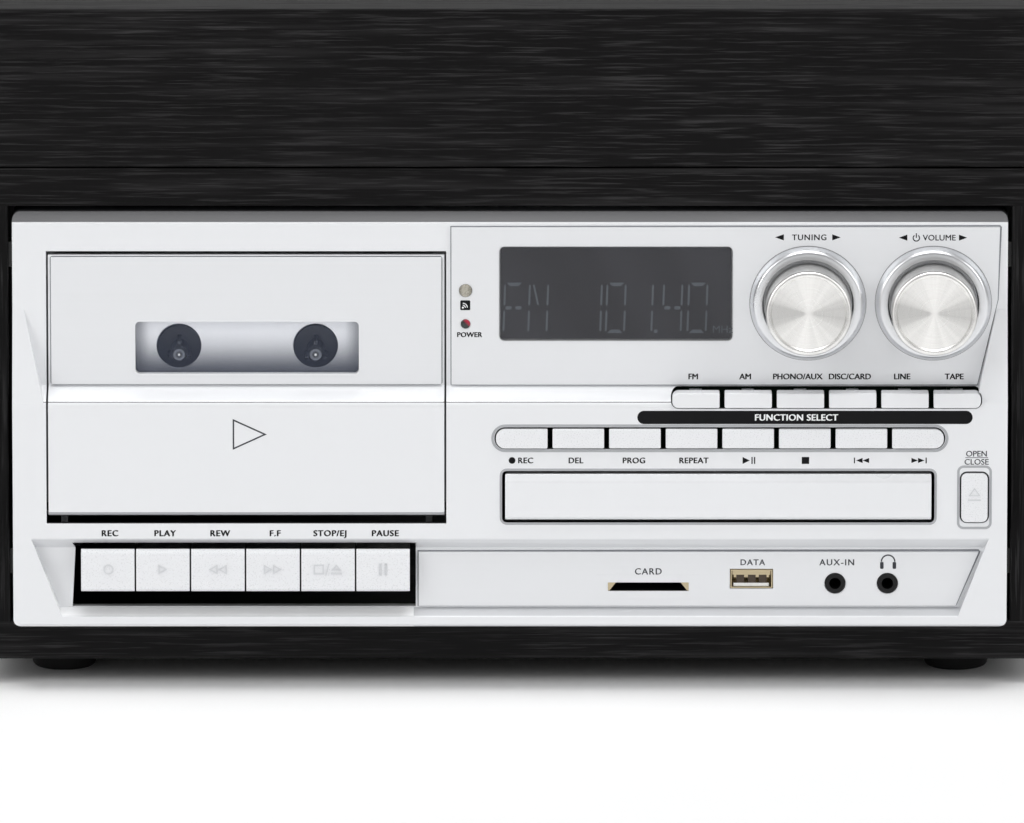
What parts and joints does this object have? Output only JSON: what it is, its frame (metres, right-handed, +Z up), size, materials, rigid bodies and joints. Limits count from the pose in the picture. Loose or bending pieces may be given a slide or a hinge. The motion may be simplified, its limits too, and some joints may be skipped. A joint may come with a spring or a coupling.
{
  "type": "stereo music centre",
  "caption": "Table-top music centre: wooden cabinet with lidded turntable, cassette deck, tuner display, knobs, keys, push buttons, disc tray and sockets.",
  "frame": {"origin": "on the floor plane under the middle of the bounding box", "axes": "+Z up, front panel faces -Y, +X to the right seen from the front"},
  "size_m": [0.336, 0.366, 0.2147],
  "materials": {
    "black_woodgrain": "satin black wood-grain foil",
    "silver_moulding": "silver painted",
    "silver_button": "silver painted",
    "brushed_plate": "fine brushed",
    "smoked_lens": "smoked, polished",
    "clear_window": "clear plastic",
    "chrome_ring": "polished",
    "spun_aluminium": "spun",
    "lamp_lens": "translucent",
    "black_plastic": "fine grained",
    "circuit_board": "solder resist",
    "plated_steel": "zinc plated",
    "socket_plating": "plated",
    "platter_metal": "turned",
    "black_rubber": "matt",
    "hardboard": "dark painted"
  },
  "bodies": {
    "cabinet": {"cabinet_carcass": "black_woodgrain", "rear_panel": "hardboard", "feet": "black_rubber", "hinge_fixed_leaves": "socket_plating", "front_panel": "silver_moulding", "upper_fascia_plate": "brushed_plate", "socket_plate": "brushed_plate", "display_lens": "smoked_lens", "display_module": "circuit_board", "indicator_lenses": "lamp_lens", "knob_rings": "chrome_ring", "control_board": "circuit_board", "tape_chassis": "plated_steel", "tape_head_block": "plated_steel", "disc_drive": "plated_steel", "usb_socket": "socket_plating", "card_reader": "plated_steel", "jack_sockets": "black_plastic", "turntable_deck": "black_plastic", "rear_sockets": "black_plastic", "power_transformer": "plated_steel"},
    "lid": {"lid": "black_woodgrain", "hinge_lid_leaves": "socket_plating"},
    "platter": {"platter": "platter_metal", "platter_mat": "black_rubber"},
    "tonearm_gimbal": {"tonearm_gimbal": "black_plastic"},
    "tonearm": {"tonearm": "platter_metal"},
    "speed_switch": {"speed_switch": "black_plastic"},
    "cassette_door": {"cassette_door": "silver_moulding", "cassette_door_plate": "brushed_plate", "cassette_window": "clear_window", "cassette_holder": "black_plastic"},
    "reel_spindle_left": {"reel_spindle_left": "black_plastic"},
    "reel_spindle_right": {"reel_spindle_right": "black_plastic"},
    "disc_tray": {"disc_tray": "black_plastic", "disc_tray_front": "silver_button"},
    "tuning_knob": {"tuning_knob": "spun_aluminium"},
    "volume_shaft": {"volume_shaft": "plated_steel"},
    "volume_knob": {"volume_knob": "spun_aluminium"},
    "tray_button": {"tray_button": "silver_button"},
    "function_button_1": {"function_button_1": "silver_button"},
    "function_button_2": {"function_button_2": "silver_button"},
    "function_button_3": {"function_button_3": "silver_button"},
    "function_button_4": {"function_button_4": "silver_button"},
    "function_button_5": {"function_button_5": "silver_button"},
    "function_button_6": {"function_button_6": "silver_button"},
    "transport_button_1": {"transport_button_1": "silver_button"},
    "transport_button_2": {"transport_button_2": "silver_button"},
    "transport_button_3": {"transport_button_3": "silver_button"},
    "transport_button_4": {"transport_button_4": "silver_button"},
    "transport_button_5": {"transport_button_5": "silver_button"},
    "transport_button_6": {"transport_button_6": "silver_button"},
    "transport_button_7": {"transport_button_7": "silver_button"},
    "transport_button_8": {"transport_button_8": "silver_button"},
    "tape_key_1": {"tape_key_1": "silver_button"},
    "tape_key_2": {"tape_key_2": "silver_button"},
    "tape_key_3": {"tape_key_3": "silver_button"},
    "tape_key_4": {"tape_key_4": "silver_button"},
    "tape_key_5": {"tape_key_5": "silver_button"},
    "tape_key_6": {"tape_key_6": "silver_button"}
  },
  "joints": [
    {"name": "lid_hinge", "type": "hinge", "parent": "cabinet", "child": "lid", "pos_m": [0, 0.1806, 0.1645], "axis": [-1, 0, 0], "range_deg": [0, 70]},
    {"name": "platter_spin", "type": "hinge", "parent": "cabinet", "child": "platter", "pos_m": [-0.042, -0.004, 0.1693], "axis": [0, 0, -1], "continuous": true},
    {"name": "arm_swing", "type": "hinge", "parent": "cabinet", "child": "tonearm_gimbal", "pos_m": [0.114, 0.12, 0.1903], "axis": [0, 0, -1], "range_deg": [0, 36]},
    {"name": "arm_lift", "type": "hinge", "parent": "tonearm_gimbal", "child": "tonearm", "pos_m": [0.114, 0.12, 0.1903], "axis": [-1, 0, 0], "range_deg": [0, 3.5]},
    {"name": "speed_switch_slide", "type": "slide", "parent": "cabinet", "child": "speed_switch", "axis": [0, 1, 0], "range_m": [0, 0.012]},
    {"name": "cassette_door_hinge", "type": "hinge", "parent": "cabinet", "child": "cassette_door", "pos_m": [-0.082, -0.17, 0.0586], "axis": [1, 0, 0], "range_deg": [0, 35]},
    {"name": "reel_left_spin", "type": "hinge", "parent": "cabinet", "child": "reel_spindle_left", "pos_m": [-0.103, -0.157, 0.1053], "axis": [0, -1, 0], "continuous": true},
    {"name": "reel_right_spin", "type": "hinge", "parent": "cabinet", "child": "reel_spindle_right", "pos_m": [-0.0605, -0.157, 0.1053], "axis": [0, -1, 0], "continuous": true},
    {"name": "disc_tray_slide", "type": "slide", "parent": "cabinet", "child": "disc_tray", "axis": [0, -1, 0], "range_m": [0, 0.13]},
    {"name": "tuning_spin", "type": "hinge", "parent": "cabinet", "child": "tuning_knob", "pos_m": [0.0926, -0.174, 0.1225], "axis": [0, -1, 0], "continuous": true},
    {"name": "volume_push", "type": "slide", "parent": "cabinet", "child": "volume_shaft", "axis": [0, 1, 0], "range_m": [0, 0.0008], "stiffness_N_per_m": 900},
    {"name": "volume_spin", "type": "hinge", "parent": "volume_shaft", "child": "volume_knob", "pos_m": [0.1316, -0.174, 0.1225], "axis": [0, -1, 0], "continuous": true},
    {"name": "function_button_1_push", "type": "slide", "parent": "cabinet", "child": "function_button_1", "axis": [0, 1, 0], "range_m": [0, 0.0008], "stiffness_N_per_m": 400},
    {"name": "function_button_2_push", "type": "slide", "parent": "cabinet", "child": "function_button_2", "axis": [0, 1, 0], "range_m": [0, 0.0008], "stiffness_N_per_m": 400},
    {"name": "function_button_3_push", "type": "slide", "parent": "cabinet", "child": "function_button_3", "axis": [0, 1, 0], "range_m": [0, 0.0008], "stiffness_N_per_m": 400},
    {"name": "function_button_4_push", "type": "slide", "parent": "cabinet", "child": "function_button_4", "axis": [0, 1, 0], "range_m": [0, 0.0008], "stiffness_N_per_m": 400},
    {"name": "function_button_5_push", "type": "slide", "parent": "cabinet", "child": "function_button_5", "axis": [0, 1, 0], "range_m": [0, 0.0008], "stiffness_N_per_m": 400},
    {"name": "function_button_6_push", "type": "slide", "parent": "cabinet", "child": "function_button_6", "axis": [0, 1, 0], "range_m": [0, 0.0008], "stiffness_N_per_m": 400},
    {"name": "transport_button_1_push", "type": "slide", "parent": "cabinet", "child": "transport_button_1", "axis": [0, 1, 0], "range_m": [0, 0.0008], "stiffness_N_per_m": 400},
    {"name": "transport_button_2_push", "type": "slide", "parent": "cabinet", "child": "transport_button_2", "axis": [0, 1, 0], "range_m": [0, 0.0008], "stiffness_N_per_m": 400},
    {"name": "transport_button_3_push", "type": "slide", "parent": "cabinet", "child": "transport_button_3", "axis": [0, 1, 0], "range_m": [0, 0.0008], "stiffness_N_per_m": 400},
    {"name": "transport_button_4_push", "type": "slide", "parent": "cabinet", "child": "transport_button_4", "axis": [0, 1, 0], "range_m": [0, 0.0008], "stiffness_N_per_m": 400},
    {"name": "transport_button_5_push", "type": "slide", "parent": "cabinet", "child": "transport_button_5", "axis": [0, 1, 0], "range_m": [0, 0.0008], "stiffness_N_per_m": 400},
    {"name": "transport_button_6_push", "type": "slide", "parent": "cabinet", "child": "transport_button_6", "axis": [0, 1, 0], "range_m": [0, 0.0008], "stiffness_N_per_m": 400},
    {"name": "transport_button_7_push", "type": "slide", "parent": "cabinet", "child": "transport_button_7", "axis": [0, 1, 0], "range_m": [0, 0.0008], "stiffness_N_per_m": 400},
    {"name": "transport_button_8_push", "type": "slide", "parent": "cabinet", "child": "transport_button_8", "axis": [0, 1, 0], "range_m": [0, 0.0008], "stiffness_N_per_m": 400},
    {"name": "tray_button_push", "type": "slide", "parent": "cabinet", "child": "tray_button", "axis": [0, 1, 0], "range_m": [0, 0.0008], "stiffness_N_per_m": 400},
    {"name": "tape_key_1_press", "type": "hinge", "parent": "cabinet", "child": "tape_key_1", "pos_m": [-0.1252, -0.132, 0.039], "axis": [1, 0, 0], "range_deg": [0, 6], "stiffness_Nm_per_rad": 0.6, "springref_deg": -2.86},
    {"name": "tape_key_2_press", "type": "hinge", "parent": "cabinet", "child": "tape_key_2", "pos_m": [-0.10806, -0.132, 0.039], "axis": [1, 0, 0], "range_deg": [0, 6], "stiffness_Nm_per_rad": 0.6, "springref_deg": -2.86},
    {"name": "tape_key_3_press", "type": "hinge", "parent": "cabinet", "child": "tape_key_3", "pos_m": [-0.09092, -0.132, 0.039], "axis": [1, 0, 0], "range_deg": [0, 6], "stiffness_Nm_per_rad": 0.6, "springref_deg": -2.86},
    {"name": "tape_key_4_press", "type": "hinge", "parent": "cabinet", "child": "tape_key_4", "pos_m": [-0.07378, -0.132, 0.039], "axis": [1, 0, 0], "range_deg": [0, 6], "stiffness_Nm_per_rad": 0.6, "springref_deg": -2.86},
    {"name": "tape_key_5_press", "type": "hinge", "parent": "cabinet", "child": "tape_key_5", "pos_m": [-0.05664, -0.132, 0.039], "axis": [1, 0, 0], "range_deg": [0, 6], "stiffness_Nm_per_rad": 0.6, "springref_deg": -2.86},
    {"name": "tape_key_6_press", "type": "hinge", "parent": "cabinet", "child": "tape_key_6", "pos_m": [-0.0395, -0.132, 0.039], "axis": [1, 0, 0], "range_deg": [0, 6], "stiffness_Nm_per_rad": 0.6, "springref_deg": -2.86}
  ]
}
